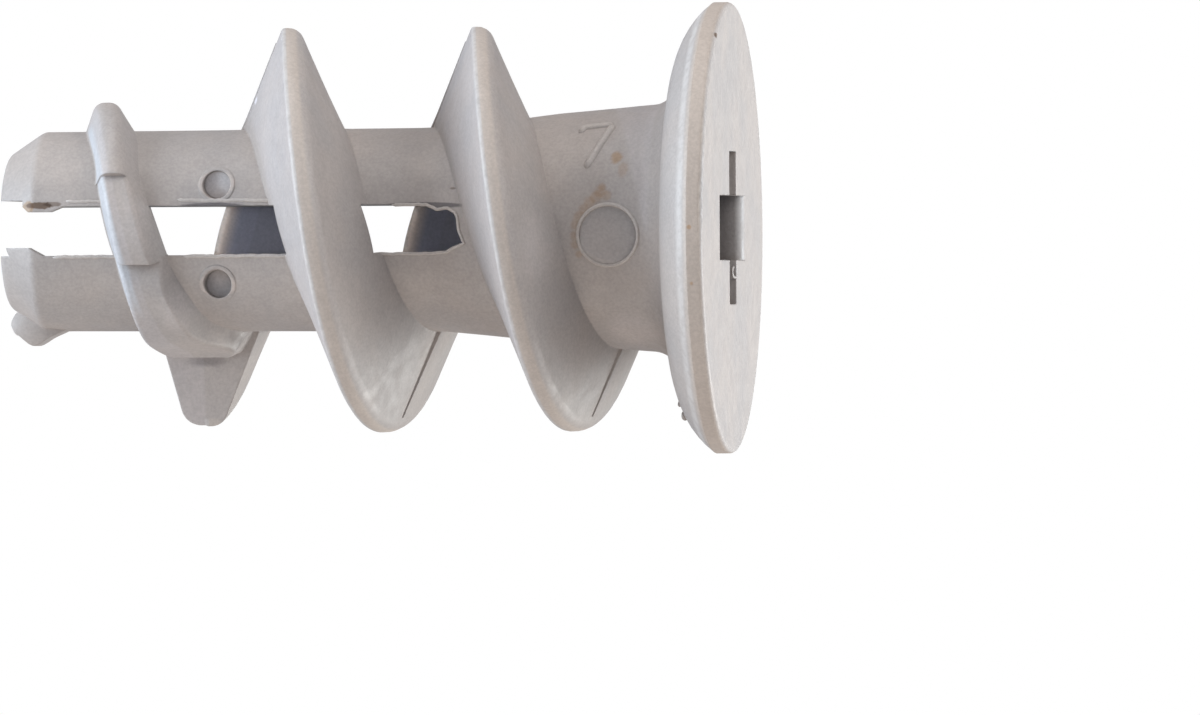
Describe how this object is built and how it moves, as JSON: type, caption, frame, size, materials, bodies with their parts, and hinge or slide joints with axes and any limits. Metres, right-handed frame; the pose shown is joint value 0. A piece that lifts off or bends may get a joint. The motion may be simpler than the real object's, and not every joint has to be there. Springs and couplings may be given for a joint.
{
  "type": "self-drilling drywall anchor",
  "caption": "Coarse-threaded self-drilling wall anchor in grey plastic with a domed head flange, a cross driver recess and a split drilling tip.",
  "frame": {"origin": "centre of the head's outer face", "axes": "+Z along the axis from the head to the drilling tip, +X across the driver slot, -Y the side with the ejector marks"},
  "size_m": [0.0136, 0.0136, 0.0222],
  "materials": {
    "nylon": "moulded, faint grain"
  },
  "bodies": {
    "root": {"drywall_anchor": "nylon"}
  },
  "joints": []
}
